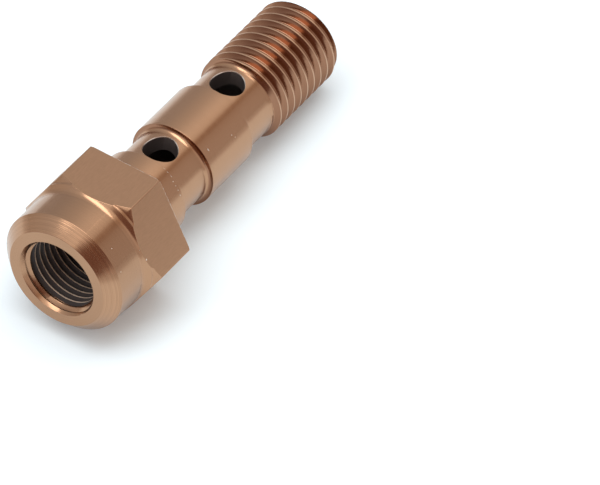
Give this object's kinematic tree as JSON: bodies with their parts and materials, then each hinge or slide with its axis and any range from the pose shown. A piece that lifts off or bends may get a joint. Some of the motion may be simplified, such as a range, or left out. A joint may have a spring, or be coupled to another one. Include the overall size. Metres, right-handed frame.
{
  "type": "banjo bolt",
  "caption": "Double banjo bolt: a round head with a tapped fluid port, a stepped shoulder and a hexagon, on a shank with relief grooves, cross holes and an M10 thread.",
  "frame": {"origin": "centre of the flat seat face under the hexagon, on the bolt's axis", "axes": "+X runs along the bolt's axis from the head to the tip of the thread, and +Z is square to the upper flat of the hexagon, so the bolt lies with a flat down"},
  "size_m": [0.0446, 0.0166, 0.0142],
  "materials": {
    "anodised_aluminium": "satin, bronze anodised, with fine turning and milling marks"
  },
  "bodies": {
    "root": {"banjo_bolt": "anodised_aluminium"}
  },
  "joints": []
}
